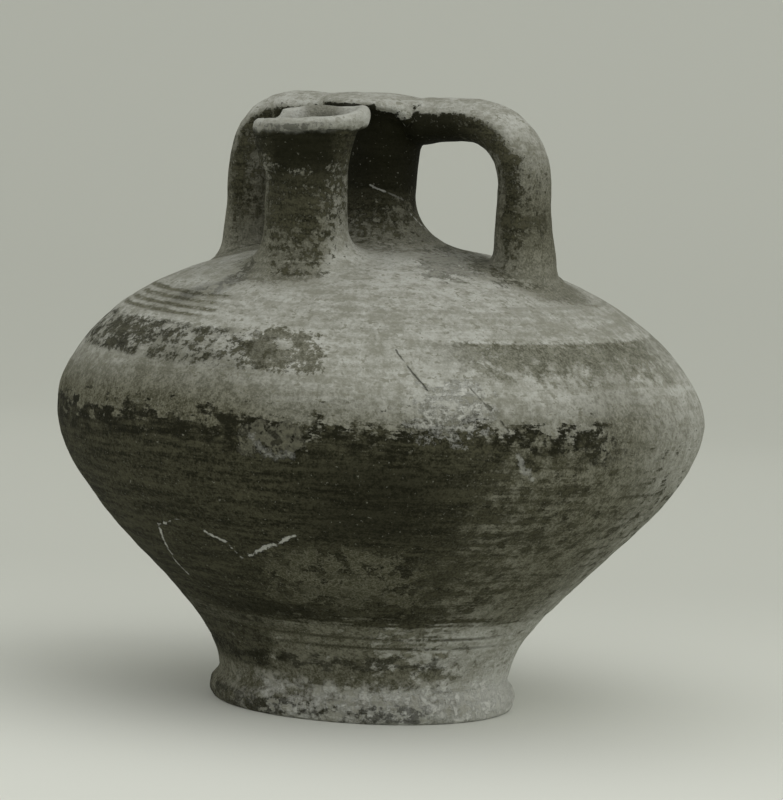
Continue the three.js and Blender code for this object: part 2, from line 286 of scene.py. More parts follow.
# %% The spout's own frame
spout_frame = Matrix.Rotation(-SPOUT_TURN, 3, "Z") @ Matrix.Rotation(SPOUT_LEAN, 3, "X")
spout_axes = np.array(spout_frame)
spout_root = np.array([
    -SPOUT_REACH * sin(SPOUT_TURN), -SPOUT_REACH * cos(SPOUT_TURN), shoulder_height(SPOUT_REACH),
])
spout_line = np.vstack([spout_outside, lip_round[1:], [(0.6, SPOUT_TOP)]])


def spout_distance(p):
    local = (p - spout_root) @ spout_axes
    return distance_to_line(np.hypot(local[:, 0], local[:, 1]), local[:, 2], spout_line)


distances = {
    "body": turned_distance(body_line, 0),
    "neck": turned_distance(neck_line, NECK_X),
    "disc": turned_distance(disc_line, NECK_X),
    "left": handle_distance(-1),
    "right": handle_distance(1),
    "spout": spout_distance,
}
print("spout root, mm:", spout_root.round(1))

# %% The smear
SMEAR_WIDTHS = {"neck": 15, "right": 5, "left": 5, "disc": 3, "spout": 9}


def ramp(value, low, high):
    """A smooth step from 0 at low to 1 at high."""
    share = np.clip((value - low) / (high - low), 0, 1)
    return share * share * (3 - 2 * share)


def smear(a, b, width):
    """Smooth minimum: the union of two pieces with a fillet about as wide as width."""
    share = np.maximum(width - np.abs(a - b), 0) / width
    return np.minimum(a, b) - share * share * width / 4


def smeared(p):
    whole = distances["body"](p)
    for name, width in SMEAR_WIDTHS.items():
        whole = smear(whole, distances[name](p), width)
    return whole


neck_corner = np.array([[NECK_X + neck_line[0, 0], 0, shoulder_height(neck_line[0, 0])]])
print("clay smeared into the neck's corner, mm:", -smeared(neck_corner).round(1))

# %% [markdown]
# A shrinkwrap would pull a skin onto one other mesh, but our surface is a field and no mesh. So
# each point walks to it: the field's value says how far to go and its slope says where. A few
# short moves are enough. Points deep inside a neighbour are left alone, and a median over each
# point's neighbours takes back a point that strayed by itself.

# %% Settle onto the smear
JOINT_REACH = 26
TUCK_DEPTH = 4
SETTLE_ROUNDS = 5
LONGEST_MOVE = 2
LEAST_SLOPE = 0.05


def slope_of(field, p, step=0.05):
    sides = [field(p + step * axis) - field(p - step * axis) for axis in np.eye(3)]
    return np.stack(sides, 1) / (2 * step)


def calm(shift):
    """Each shift becomes the median of its own and its neighbours', so no point strays alone."""
    ahead_of, behind_it = np.roll(shift, -1, 0), np.roll(shift, 1, 0)
    ahead_of[-1], behind_it[0] = shift[-1], shift[0]
    around = np.stack([shift, ahead_of, behind_it, np.roll(shift, 1, 1), np.roll(shift, -1, 1)])
    return np.median(around, axis=0)


def settle(points, own):
    """Moves the points of one piece that lie near its neighbours onto the smeared surface."""
    flat = points.reshape(-1, 3).copy()
    others = np.min([d(flat) for name, d in distances.items() if name != own], axis=0)
    moving = np.where((others < JOINT_REACH) & (others > -TUCK_DEPTH))[0]
    under = np.minimum(others[moving], 0)
    target = 0.05 * under - 0.1 * under**2
    p = flat[moving]
    for _ in range(SETTLE_ROUNDS):
        slope = slope_of(smeared, p)
        miss = np.clip(smeared(p) - target, -LONGEST_MOVE, LONGEST_MOVE)
        p = p - slope * (miss / (np.sum(slope * slope, 1) + LEAST_SLOPE))[:, None]
    flat[moving] = p
    return points + calm(flat.reshape(points.shape) - points)


print("the field's slope in the neck's corner:", slope_of(smeared, neck_corner).round(2))

# %% [markdown]
# ## Hand and wheel
# No surface of the jar is true. The body swings a millimetre to one side and back, and is a
# little oval, because it was thrown fast and moved while wet, and the wheel has left rings.
# Bump maps could fake that, but a mesh that really has the lumps also has them in its outline,
# so we move the points.

# %% Hand-made unevenness
LOW_SWING = -0.8
LOW_HEIGHT = 45
LOW_SPREAD = 14
BELLY_SWING = 1.25
SWING_HEIGHT = 88
SWING_SPREAD = 16
SQUEEZE = 0.75
screen_right = unit(right * [1, 1, 0])
screen_back = unit(ahead * [1, 1, 0])


def swing(points):
    """The body's middle drifts sideways with height, and its belly is squeezed."""
    height = points[..., 2]
    low = np.exp(-(((height - LOW_HEIGHT) / LOW_SPREAD) ** 2))
    high = np.exp(-(((height - SWING_HEIGHT) / SWING_SPREAD) ** 2))
    squeezed = ramp(height, 24, 38) * ramp(height, 104, 94) * (points @ screen_right) / BELLY[0]
    drift = LOW_SWING * low + BELLY_SWING * high - SQUEEZE * squeezed
    return points + drift[..., None] * screen_right


def lumps(points, grain):
    flat = (points.reshape(-1, 3) / grain).tolist()
    return np.array([noise.noise(p) for p in flat]).reshape(points.shape[:-1])


def hand_marks(points):
    return 0.34 * lumps(points, 21) + 0.18 * lumps(points + 50, 8) + 0.1 * lumps(points - 70, 3.1)


def wheel_marks(points):
    """Rings left by the fingers, strongest low on the body and gone where the roots begin."""
    stretched = points * [0.02, 0.02, 1]
    rings = lumps(stretched, 2.3) + 0.6 * lumps(stretched + 9, 1.2)
    height = points[..., 2]
    low_down = ramp(height, 34, 26) * ramp(height, 12, 17)
    return rings * (0.06 * ramp(height, 116, 104) + 0.12 * low_down)


axis_points = np.array([[0, 0, LOW_HEIGHT], [0, 0, SWING_HEIGHT]], float)
drift_found = (swing(axis_points) - axis_points) @ screen_right
print("the body's drift low and at the belly, mm:", drift_found.round(2))

# %% [markdown]
# Marks have to stand out from the clay, so we need the way that each point faces. Blender can
# tell the normals of a finished mesh, but we want them before there is one. The points lie in
# rings, so the way along the rings and the way round them give it as a cross product.

# %% Rings and their normals
NUDGE = 1e-9


def outward(rings, loop):
    """Unit normals of rings of points, with the clay on the left of the way they run."""
    if loop:
        along = np.roll(rings, -1, 0) - np.roll(rings, 1, 0)
    else:
        along = np.gradient(rings, axis=0)
    around = np.roll(rings, -1, 1) - np.roll(rings, 1, 1)
    return unit(np.cross(around, along) + NUDGE)


def turned(line, sides, axis_x=0):
    """Rings of points for an outline turned about an upright axis."""
    angle = np.arange(sides) * 2 * pi / sides
    circle = np.stack([np.cos(angle), np.sin(angle)], 1)
    rings = np.empty((len(line), sides, 3))
    rings[..., :2] = line[:, 0, None, None] * circle
    rings[..., 0] += axis_x
    rings[..., 2] = line[:, 1, None]
    return rings


trial_rings = turned(body_line, 8)
print("a point of the belly faces:", outward(trial_rings, False)[body_line[:, 0].argmax(), 0].round(2))

# %% [markdown]
# ## From rings to pieces
# Every piece of this jar is a row of rings: round a turned outline, or along a handle. A screw
# modifier could turn the outlines, but it leaves no point to move by hand. So one function
# skins all rings. It closes the two ends with a fan, or joins the last ring to the first where
# the piece is a tube with a bore, and marks sharp only what is sharper than clay edges are.

# %% Skin a piece
SHARP_EDGE = radians(50)


def skin(name, rings, slot, *nodes, loop=False):
    count, sides = rings.shape[:2]
    ring = np.arange(count * sides).reshape(count, sides)
    start, end = (ring, np.roll(ring, -1, 0)) if loop else (ring[:-1], ring[1:])
    quads = np.stack([start, np.roll(start, -1, 1), np.roll(end, -1, 1), end], -1).reshape(-1, 4)
    points = rings.reshape(-1, 3)
    faces = quads.tolist()
    if not loop:
        hubs = [rings[0].mean(0), rings[-1].mean(0)]
        low, high = count * sides, count * sides + 1
        points = np.vstack([points, hubs])
        faces += [(low, int(b), int(a)) for a, b in zip(ring[0], np.roll(ring[0], -1))]
        faces += [(high, int(a), int(b)) for a, b in zip(ring[-1], np.roll(ring[-1], -1))]
    mesh = bpy.data.meshes.new(name)
    mesh.from_pydata((points * MM).tolist(), [], faces)
    mesh.shade_smooth()
    mesh.set_sharp_from_angle(angle=SHARP_EDGE)
    piece = bpy.data.objects.new(name, mesh)
    bpy.context.scene.collection.objects.link(piece)
    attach(piece, "root")
    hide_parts(*nodes)
    print(name, len(points), "points")
    return piece


# %% [markdown]
# ## The body
# The body was thrown in two bowls and joined at the belly, where the rim of the upper one
# laps over the lower. Both get the same swing, lumps and rings, worked out from the place in
# space and not from the piece, so the seam at the belly stays shut and doesn't show.

# %% Wall and marks
SEAM_REACH = 4


def inner_line(line):
    along = np.gradient(line, axis=0)
    left = unit(np.stack([-along[:, 1], along[:, 0]], 1))
    return line + WALL * left


def marked(outside):
    """The outside rings with their marks. At a seam the marks only reach sideways, so it stays shut."""
    way = outward(outside, False)
    height = outside[..., 2]
    for seam in (STEM[1], BELLY[1]):
        way[..., 2] *= ramp(np.abs(height - seam), 0, SEAM_REACH)
    return outside + (hand_marks(outside) + wheel_marks(outside))[..., None] * way


print("the wall inside the belly stands at, mm:", inner_line(body_line)[:, 0].max().round(1))

# %% Lower body
BODY_SIDES = 320
FINE = 1.0
COARSE = 3.0
HUB_RADIUS = 2
tongue = BELLY[0] - WALL / 2
lower_outside = evenly(lower_line, FINE)
lower_inside = inner_line(evenly(lower_line, COARSE))
lower_inside = lower_inside[lower_inside[:, 1] > FLOOR + HUB_RADIUS][::-1]
lower_under = evenly([(HUB_RADIUS, STEM[1]), STEM], COARSE)[:-1]
lower_within = np.vstack([
    [(tongue, BELLY[1]), (tongue, BELLY[1] + LAP), (BELLY[0] - WALL, BELLY[1] + LAP)],
    lower_inside,
    evenly([(lower_inside[-1][0] - COARSE, FLOOR), (HUB_RADIUS, FLOOR)], COARSE),
])
lower_rings = np.concatenate([
    turned(lower_under, BODY_SIDES),
    marked(turned(lower_outside, BODY_SIDES)),
    turned(lower_within, BODY_SIDES),
])
lower_body = skin("lower_body_clay", swing(lower_rings), "painted_clay", "lower_body")

# %% [markdown]
# The shoulder is the dome above. Its skin rises into the smears round the spout, the neck and
# the handles, and a real hole leads from the spout into the jar.

# %% Shoulder
upper_outside = evenly(upper_line, FINE)[:-1]
upper_inside = inner_line(evenly(upper_line, COARSE))
above_lap = upper_inside[:, 1] > BELLY[1] + LAP
upper_inside = upper_inside[above_lap & (upper_inside[:, 0] > HUB_RADIUS)][::-1]
upper_start = np.vstack([
    [(1, CROWN[1] - WALL)],
    upper_inside,
    [(BELLY[0] - WALL, BELLY[1] + LAP), (tongue, BELLY[1] + LAP), (tongue, BELLY[1])],
])
dome = settle(turned(upper_outside, BODY_SIDES), "body")
shoulder_rings = np.concatenate([turned(upper_start, BODY_SIDES), marked(dome)])
shoulder = skin("shoulder_clay", swing(shoulder_rings), "pale_clay", "shoulder")

# %% [markdown]
# The potter pierced the shoulder before setting the spout over the hole. Leaving faces out of
# the dome would give a jagged hole, so a drill of the bore's size cuts it with an exact boolean.
# The cut is applied at once, and the drill is thrown away.

# %% Pierce the shoulder for the spout
HOLE_SIDES = 48
DRILL_REACH = 16
drill_line = np.array([(SPOUT_BORE, -DRILL_REACH), (SPOUT_BORE, DRILL_REACH)])
bore_rings = turned(drill_line, HOLE_SIDES) @ spout_axes.T + spout_root
drill_mesh = bpy.data.meshes.new("drill")
drill = bpy.data.objects.new("drill", drill_mesh)
drill_faces = [tuple(range(HOLE_SIDES))[::-1], tuple(range(HOLE_SIDES, 2 * HOLE_SIDES))]
for i in range(HOLE_SIDES):
    j = (i + 1) % HOLE_SIDES
    drill_faces.append((i, j, HOLE_SIDES + j, HOLE_SIDES + i))
drill_mesh.from_pydata((bore_rings.reshape(-1, 3) * MM).tolist(), [], drill_faces)
bpy.context.scene.collection.objects.link(drill)
cut = shoulder.modifiers.new("bore", "BOOLEAN")
cut.operation = "DIFFERENCE"
cut.solver = "EXACT"
cut.object = drill
drilled = shoulder.evaluated_get(bpy.context.evaluated_depsgraph_get())
pierced = bpy.data.meshes.new_from_object(drilled)
shoulder.modifiers.clear()
shoulder.data = pierced
bpy.data.objects.remove(drill)
print("pierced shoulder:", len(pierced.vertices), "points")

# %% [markdown]
# ## The foot
# The foot is a thick ring, turned with a bulge and worn flat below. A torus would be quicker,
# but it has no flat to stand on. This outline goes up from the flat and ends where the body's
# begins, so the two run on into each other, and the lumps fade out at the flat.

# %% Foot ring
FOOT_RADIUS = 42.4
foot_outline = np.vstack([
    [(33, 0), (36, 0), (39, 0)],
    bezier((41, 0), (42, 0.3), (FOOT_RADIUS, 1.4), (FOOT_RADIUS, 3), 6),
    bezier((FOOT_RADIUS, 3), (FOOT_RADIUS, 6.4), (40.2, 5.6), STEM, 10)[1:],
    [(36, STEM[1]), (31.5, STEM[1] - 0.3), (32, 5), (32.6, 2)],
])
foot_rings = turned(foot_outline, BODY_SIDES)
foot_height = foot_rings[..., 2]
foot_way = outward(foot_rings, True)
foot_way[..., 2] *= ramp(foot_height, 0, 2) * ramp(foot_height, STEM[1], STEM[1] - 4)
chipped = 0.5 * lumps(foot_rings + 20, 4) * ramp(foot_height, STEM[1], 5)
foot_wear = hand_marks(foot_rings) + wheel_marks(foot_rings) + chipped
foot_rings = swing(foot_rings + (foot_wear * ramp(foot_height, 0, 1.5))[..., None] * foot_way)
foot = skin("foot_clay", foot_rings, "worn_clay", "foot_ring", loop=True)

# %% [markdown]
# ## The stirrup
# The neck is a solid stem. The disc that closes it is thin, and the two handles are pulled
# straps of clay, oval in section. A curve with a bevel would bend such a strap, but its skin
# couldn't meet the dome. Each piece here is settled onto the smear, so the stem swells into the
# bar above it and each handle spreads into the shoulder. On the right a lap of the disc's clay
# was pressed down over the bar.

# %% False neck and disc
STEM_SIDES = 112
LAP_DROOP = 3.2
LAP_WAY = 0.8 * screen_right - 0.6 * screen_back
LAP_ARC = (0.7, 0.94)


def smeared_piece(rings, own):
    settled = settle(rings, own)
    return settled + hand_marks(settled)[..., None] * outward(settled, False)


neck_rings = smeared_piece(turned(evenly(neck_line, FINE), STEM_SIDES, NECK_X), "neck")
neck = skin("false_neck_clay", neck_rings, "painted_clay", "false_neck", "neck_luting")
disc_rings = smeared_piece(turned(evenly(disc_line, 0.7), STEM_SIDES, NECK_X), "disc")
from_axis = disc_rings - [NECK_X, 0, 165]
disc_radius = np.hypot(from_axis[..., 0], from_axis[..., 1])
facing_lap = from_axis @ LAP_WAY / disc_radius
lap = ramp(facing_lap + 0.1 * lumps(disc_rings, 3), *LAP_ARC) * ramp(disc_radius, 11, 15)
disc_rings[..., 2] -= LAP_DROOP * lap * ramp(disc_rings[..., 2], 166, 164.6)
disc = skin("neck_disc_clay", disc_rings, "worn_clay", "neck_disc")

# %% Handles
HANDLE_SIDES = 64


def handle_rings(side):
    line = handle_lines[side]
    along = unit(np.gradient(line, axis=0))
    angle = np.arange(HANDLE_SIDES) * 2 * pi / HANDLE_SIDES * side
    thick, wide = half_sizes(side, line[:, 0], line[:, 1])
    out = thick[:, None] * np.cos(angle)
    rings = np.empty((len(line), HANDLE_SIDES, 3))
    rings[..., 0] = side * (line[:, 0, None] - along[:, 1, None] * out)
    rings[..., 1] = wide[:, None] * np.sin(angle)
    rings[..., 2] = line[:, 1, None] + along[:, 0, None] * out
    return rings


handles = [
    skin(
        f"{word}_handle_clay", smeared_piece(handle_rings(side), word), "painted_clay",
        f"{word}_handle", f"{word}_handle_luting",
    )
    for word, side in (("left", -1), ("right", 1))
]

# %% [markdown]
# ## The spout
# The spout was thrown as a little tube, flared at the top and rolled over into a lip. It was
# set on by eye: the lip tilts, and one side of it has broken away and left a flat ledge. The
# tube is one closed skin, up the outside, over the lip and down the bore.

# %% Spout rings
spout_outline = np.vstack([
    evenly(spout_outside, FINE)[:-1],
    evenly(lip_round, 0.6)[:-1],
    evenly(spout_inside, 0.9),
    evenly([(SPOUT_BORE, 24), (SPOUT_BORE, SPOUT_ROOT)], COARSE),
])
spout_local = turned(spout_outline, STEM_SIDES)
spout_rings = spout_local @ spout_axes.T + spout_root
sideways = (spout_rings - spout_root) @ screen_right
away = (spout_rings - spout_root) @ screen_back
height = spout_local[..., 2]
print("spout:", len(spout_outline), "rings of", STEM_SIDES)

# %% [markdown]
# A true lip would look machined beside the rest. The real one droops at both ends, swells where
# the clay was rolled thick, and is broken on the left down to a ledge. A sculpting brush could
# do that once; sums on the height and on the way across can be read and changed.

# %% Lip
LIP_FOOT = 36
LIP_TILT = 0.06
LIP_DROOP = 0.07
LIP_PITCH = 0.045
LIP_SQUASH = 0.28
LIP_ASIDE = 1.0
LIP_LUMPS = 0.45
LIP_SWELL = 0.42
LIP_MIDDLE = 37.4
LEFT_FLARE = 1.7
LEDGE_HEIGHT = 37.4
UNBROKEN = 8
ledge = LEDGE_HEIGHT + UNBROKEN * np.maximum(ramp(sideways, -10.5, -6.5), ramp(-away, 0, 5))
ledge += 0.5 * lumps(spout_rings, 2.5)
lip_share = ramp(height, 22, LIP_FOOT)
tilt = LIP_TILT * sideways - LIP_DROOP * (np.hypot(sideways, 4) - 4)
squash = LIP_SQUASH * np.maximum(height - LIP_FOOT, 0)
swell = LIP_SWELL * ramp(sideways, 5, 14) * np.clip(height - LIP_MIDDLE, -2, 4)
swell += LIP_SWELL * ramp(-sideways, 7, 15) * np.clip(height - LIP_MIDDLE - 2, -3, 0)
spout_rings[..., 2] += (tilt + swell + LIP_PITCH * away) * lip_share
spout_rings[..., 2] -= squash + np.maximum(height - squash - ledge, 0)
flare = LEFT_FLARE * ramp(-sideways, 4, 11) * ramp(height, 14, 26) * ramp(height, 37, 33)
spout_rings += (LIP_ASIDE * lip_share - flare)[..., None] * screen_right
outside = np.arange(len(spout_outline)) < len(evenly(spout_outside, FINE)) - 1
spout_rings[outside] = settle(spout_rings[outside], "spout")
spout_lumps = hand_marks(spout_rings) + LIP_LUMPS * lip_share * lumps(spout_rings + 31, 7)
spout_rings += spout_lumps[..., None] * outward(spout_rings, True)
spout = skin("spout_clay", spout_rings, "painted_clay", "spout", "spout_luting", loop=True)

# %% [markdown]
# ## Marks placed one by one
# Cracks, chips and patches sit at one place only, so noise can't give them. We note where the
# picture shows each one, in pixels, and send a ray from the camera to find the point of the
# clay under it. From then on the mark belongs to the jar, and stays put in any other view.

# %% Where the marks are, in pixels of the picture
MARKS = {
    "long_crack": [(394, 350), (406, 368), (424, 390)],
    "short_crack": [(464, 384), (480, 402), (505, 431)],
    "left_chip": [(158, 524), (165, 540), (175, 558), (189, 575)],
    "chip_hook": [(159, 525), (172, 520), (186, 519)],
    "middle_chip": [(205, 531), (228, 543), (243, 558)],
    "right_chip": [(252, 556), (268, 547), (280, 544), (296, 535)],
    "scuff": [(516, 456), (522, 468), (531, 480)],
    # the crease beside the spout, where a shadow is painted
    "root_crease": [(252, 262), (237, 276), (215, 288), (186, 294)],
    "root_dirt": [(518, 275)],
    # painted shade between the neck and the right arm
    "gap_shade": [(454, 262)],
    "scuffed_belly": [(585, 476)],
    "disc_lap": [(384, 103), (394, 106), (405, 111)],
    "long_scratch": [(370, 185), (378, 189), (387, 192)],
    "faint_scratch": [(387, 192), (396, 196), (404, 200)],
    "short_scratch": [(411, 214), (429, 232)],
    "crust": [(266, 441)],
    "crust_rim": [(247, 438), (255, 447), (263, 455), (274, 456), (285, 455)],
    "crust_pit": [(265, 432), (273, 437), (275, 441), (269, 443)],
    "crack_pit": [(484, 405), (487, 409)],
    "thin_patch": [(281, 350)],
    "thin_patch_hole": [(283, 345)],
    "pale_crust": [(446, 412)],
    "worn_patch": [(345, 582)],
    "black_flakes": [(566, 446)],
}
print("marks:", len(MARKS))

# %% Find the marks on the clay
RAY_LEAD = 150.0
RAY_STEPS = 60
RAY_SHARE = 0.9


def on_jar(pixels):
    """The points of the smeared surface that the camera sees at these pixels."""
    offset = pixels - IMAGE_SIZE / 2
    rays = unit(ahead + (offset[:, :1] * right - offset[:, 1:] * up) / FOCAL_PIXELS)
    reach = np.full(len(pixels), CAMERA_REACH - RAY_LEAD)
    for _ in range(RAY_STEPS):
        reach += RAY_SHARE * smeared(camera_place + reach[:, None] * rays)
    return swing(camera_place + reach[:, None] * rays)


counts = np.cumsum([len(pixels) for pixels in MARKS.values()])
found = on_jar(np.array(sum(MARKS.values(), []), float))
marks = dict(zip(MARKS, np.split(found, counts[:-1])))
print("first points, mm:", {name: points[0].round(1).tolist() for name, points in marks.items()})

# %% [markdown]
# ## Shader sums
# Blender's materials are graphs of nodes. Drawn by hand they are easy to follow; from Python
# each node and link is a line of its own, and a formula drowns. So one small class wraps a
# socket and takes part in sums: every plus or times adds a Math node.

# %% A socket that can be used in sums
class Wire:
    """A socket of a node tree. Sums with it add Math nodes to the tree."""

    def __init__(self, tree, socket=None):
        self.tree = tree
        self.socket = socket

    def node(self, kind, settings, inputs, output=0):
        """Adds any node: its settings first, then the values or wires of its sockets."""
        made = self.tree.nodes.new("ShaderNode" + kind)
        for name, value in settings.items():
            setattr(made, name, value)
        for name, value in inputs.items():
            if isinstance(value, Wire):
                self.tree.links.new(value.socket, made.inputs[name])
            else:
                made.inputs[name].default_value = value
        return Wire(self.tree, made.outputs[output])

    def math(self, operation, *values):
        return self.node("Math", {"operation": operation}, dict(enumerate(values)))

    def __add__(self, other):
        return self.math("ADD", self, other)

    def __sub__(self, other):
        return self.math("SUBTRACT", self, other)

    def __rsub__(self, other):
        return self.math("SUBTRACT", other, self)

    def __mul__(self, other):
        return self.math("MULTIPLY", self, other)

    __radd__ = __add__
    __rmul__ = __mul__

    def least(self, other):
        return self.math("MINIMUM", self, other)

    def most(self, other):
        return self.math("MAXIMUM", self, other)

    def step(self, low, high):
        """A smooth rise from 0 at low to 1 at high, or a fall where low is the greater."""
        return self.node(
            "MapRange", {"interpolation_type": "SMOOTHSTEP"},
            {"Value": self, "From Min": low, "From Max": high},
        )

    def vector(self, operation, other, output=0):
        return self.node("VectorMath", {"operation": operation}, {0: self, 1: other}, output)

    def along(self, axis):
        """How far a place lies along an axis."""
        return self.vector("DOT_PRODUCT", tuple(axis), 1)

    def times(self, factor):
        return self.node("VectorMath", {"operation": "SCALE"}, {0: self, 3: factor})

    def between(self, low, high):
        """A colour that is low where this value is 0 and high where it is 1."""
        return self.node("Mix", {"data_type": "RGBA"}, {0: self, 6: low, 7: high}, 2)


print("a wire can:", [name for name in vars(Wire) if not name.startswith("_")])

# %% [markdown]
# Three shapes come back in every finish: a noise, the distance to a mark, and a patch round a
# mark. A noise could be set up by hand each time; a function takes its size in millimetres, so
# it can be compared with the flakes and grains of real clay.

# %% Noise and distances as wires
PATCH_DEPTH = 40


def grainy(place, size, detail=3, rough=0.6, stretch=(1, 1, 1)):
    """Noise from 0 to 1 whose lumps are about size millimetres, drawn out by stretch."""
    drawn = place.vector("MULTIPLY", stretch)
    return drawn.node(
        "TexNoise", {}, {"Vector": drawn, "Scale": 1 / size, "Detail": detail, "Roughness": rough},
    )


def gap_to(place, points):
    """Distance from a place to a point, or to a bent line through several."""
    if len(points) == 1:
        return place.vector("DISTANCE", tuple(points[0]), 1)
    gap = None
    for start, end in zip(points[:-1], points[1:]):
        run = end - start
        offset = place.vector("SUBTRACT", tuple(start))
        share = offset.along(run / (run @ run)).most(0).least(1)
        foot = offset.node("VectorMath", {"operation": "SCALE"}, {0: tuple(run), 3: share})
        reach = offset.vector("DISTANCE", foot, 1)
        gap = reach if gap is None else gap.least(reach)
    return gap


def patch(place, name, wide, high, ragged=0):
    """1 inside a boxy oval on the near side of the jar, 0 outside it."""
    offset = place.vector("SUBTRACT", tuple(marks[name][0]))
    across = offset.along(screen_right / wide)
    upright = offset.along((0, 0, 1 / high))
    deep = offset.along(screen_back / PATCH_DEPTH)
    across, upright, deep = across * across, upright * upright, deep * deep
    return (across * across + upright * upright + deep * deep + ragged).step(1.2, 0.6)


crack_steps = np.linalg.norm(np.diff(marks["long_crack"], axis=0), axis=1)
print("the long crack runs, mm:", crack_steps.sum().round(1))

# %% [markdown]
# ## Bare clay
# Under the paint the clay is a pale, dull buff. It is never one colour: it is cloudy from the
# fire, streaked by the wheel, and specked with grit. Noises of different size and stretch give
# that, and the same noises lift the bump, so grit that shows also catches the light.
#
# Paint is uneven too. One colour between black and brown, chosen by noise, serves all of it.
# `remains` says how much of a coat is left: the cover is high where it is whole, and noise
# breaks it up where it is thin. `ragged` frays an edge with the same noises.

# %% Clay and paint colours
def linear(red, green, blue):
    """A colour as it is seen on screen, 0 to 255, in the linear values that Blender wants."""
    seen = np.array([red, green, blue]) / 255
    return tuple(np.where(seen <= 0.04045, seen / 12.92, ((seen + 0.055) / 1.055) ** 2.4)) + (1.0,)


PALE_CLAY = linear(171, 172, 163)
DULL_CLAY = linear(128, 128, 115)
LIGHT_STAIN = linear(110, 109, 93)
DARK_STAIN = linear(58, 57, 40)
LIGHT_WASH = linear(124, 124, 110)
DARK_WASH = linear(76, 76, 62)
LIGHT_PAINT = linear(69, 68, 52)
BLACK_PAINT = linear(23, 23, 9)
CHALK = linear(186, 187, 178)
print("pale clay in linear values:", np.round(PALE_CLAY[:3], 3))

# %% Clay
CLAY_ROUGHNESS = 0.88
CLAY_GLOSS = 0.12
PAINT_RELIEF = 0.12


class Clay:
    """The places and noises that every clay finish on the jar is worked out from."""

    def __init__(self, name):
        self.material = bpy.data.materials.new(name)
        self.material.use_nodes = True
        tree = self.material.node_tree
        self.place = Wire(tree).node("TexCoord", {}, {}, "Object").times(1 / MM)
        self.normal = Wire(tree).node("NewGeometry", {}, {}, "Normal")
        self.height = self.place.along((0, 0, 1))
        self.cloud = grainy(self.place, 24)
        self.streak = grainy(self.place, 1.6, detail=5, rough=0.68, stretch=(0.09, 0.09, 1))
        self.mottle = grainy(self.place, 4.5, detail=5, rough=0.65)
        self.fine = grainy(self.place, 1.3, detail=4, rough=0.7)
        self.grit = grainy(self.place, 0.55, detail=2, rough=0.6)
        self.speck = grainy(self.place, 1.5, detail=2, rough=0.5).step(0.64, 0.7)
        self.rough = 0.4 * self.fine + 0.3 * self.streak + 0.3 * self.mottle
        shade = (0.4 * self.streak + 0.35 * self.fine + 0.25 * self.grit).step(0.4, 0.6)
        self.paint = shade.between(BLACK_PAINT, LIGHT_PAINT)
        blotch = (0.3 * self.mottle + 0.4 * self.fine + 0.3 * self.grit).step(0.4, 0.6)
        self.stain = blotch.between(DARK_STAIN, LIGHT_STAIN)
        self.wash = blotch.between(DARK_WASH, LIGHT_WASH)

    def beside(self, x, y):
        """Distance from an upright line."""
        return self.place.vector("MULTIPLY", (1, 1, 0)).vector("DISTANCE", (x, y, 0), 1)

    def ragged(self, **amounts):
        """Noises about zero, each as strong as its amount, that fray an edge."""
        return sum(amount * (getattr(self, name) - 0.5) for name, amount in amounts.items())

    def remains(self, cover, amount=8, soft=0.35):
        """What is left of a coat: all of it at 1.5, patches at 0.5, nothing below -0.5."""
        return (cover + amount * (self.rough - 0.5)).step(0.5 - soft, 0.5 + soft)

    def ground(self):
        tone = 0.15 * self.cloud + 0.26 * self.streak + 0.31 * self.mottle + 0.28 * self.fine
        dashes = grainy(self.place, 1.1, detail=2, rough=0.5, stretch=(0.35, 0.35, 1)).step(0.64, 0.71)
        share = tone.step(0.4, 0.6) + 0.45 * (self.grit - 0.5) - self.speck - 1.3 * dashes
        return share.between(DULL_CLAY, PALE_CLAY)

    def finish(self, layers, relief):
        """Lays coats over the ground in order, and joins colour and relief to the shader."""
        colour = self.ground()
        dust = grainy(self.place, 0.9, detail=2, rough=0.5).step(0.68, 0.75)
        for tint, share in [*layers, (DULL_CLAY, 0.6 * dust)]:
            colour = share.between(colour, tint)
        tree = self.material.node_tree
        shader = tree.nodes["Principled BSDF"]
        shader.inputs["Roughness"].default_value = CLAY_ROUGHNESS
        shader.inputs["Specular IOR Level"].default_value = CLAY_GLOSS
        tree.links.new(colour.socket, shader.inputs["Base Color"])
        relief = relief + 0.7 * self.fine + 0.8 * self.mottle + 0.3 * self.streak + 0.15 * self.grit
        bump = relief.node("Bump", {}, {"Height": relief, "Distance": MM, "Strength": 1.0})
        tree.links.new(bump.socket, shader.inputs["Normal"])
        print(self.material.name, len(tree.nodes), "nodes")
        return self.material


# %% [markdown]
# ## Paint on the stirrup and the spout
# Neck, handles and spout were painted all over. Hands and packing have rubbed the paint from
# what faces up and out, and it thins towards the roots. What faces up and to the right also faces
# the window, so the paint taken from there is partly wear and partly painted light. The roots are
# darker, partly from grime in the smears and partly from painted shade in their corners.
# Each piece could have a paint of its own, but the shoulder's skin rises into the same smears,
# and a seam would show. So one set of distances, from the neck, the arms and the spout, paints
# the roots on every piece.

# %% Distances from the roots
ARM_ROOT = 43.5
DOME_FALL = 0.0034


def stripe(height, low, high, soft):
    """1 between two heights, with soft edges."""
    return height.step(low - soft, low + soft) * height.step(high + soft, high - soft)


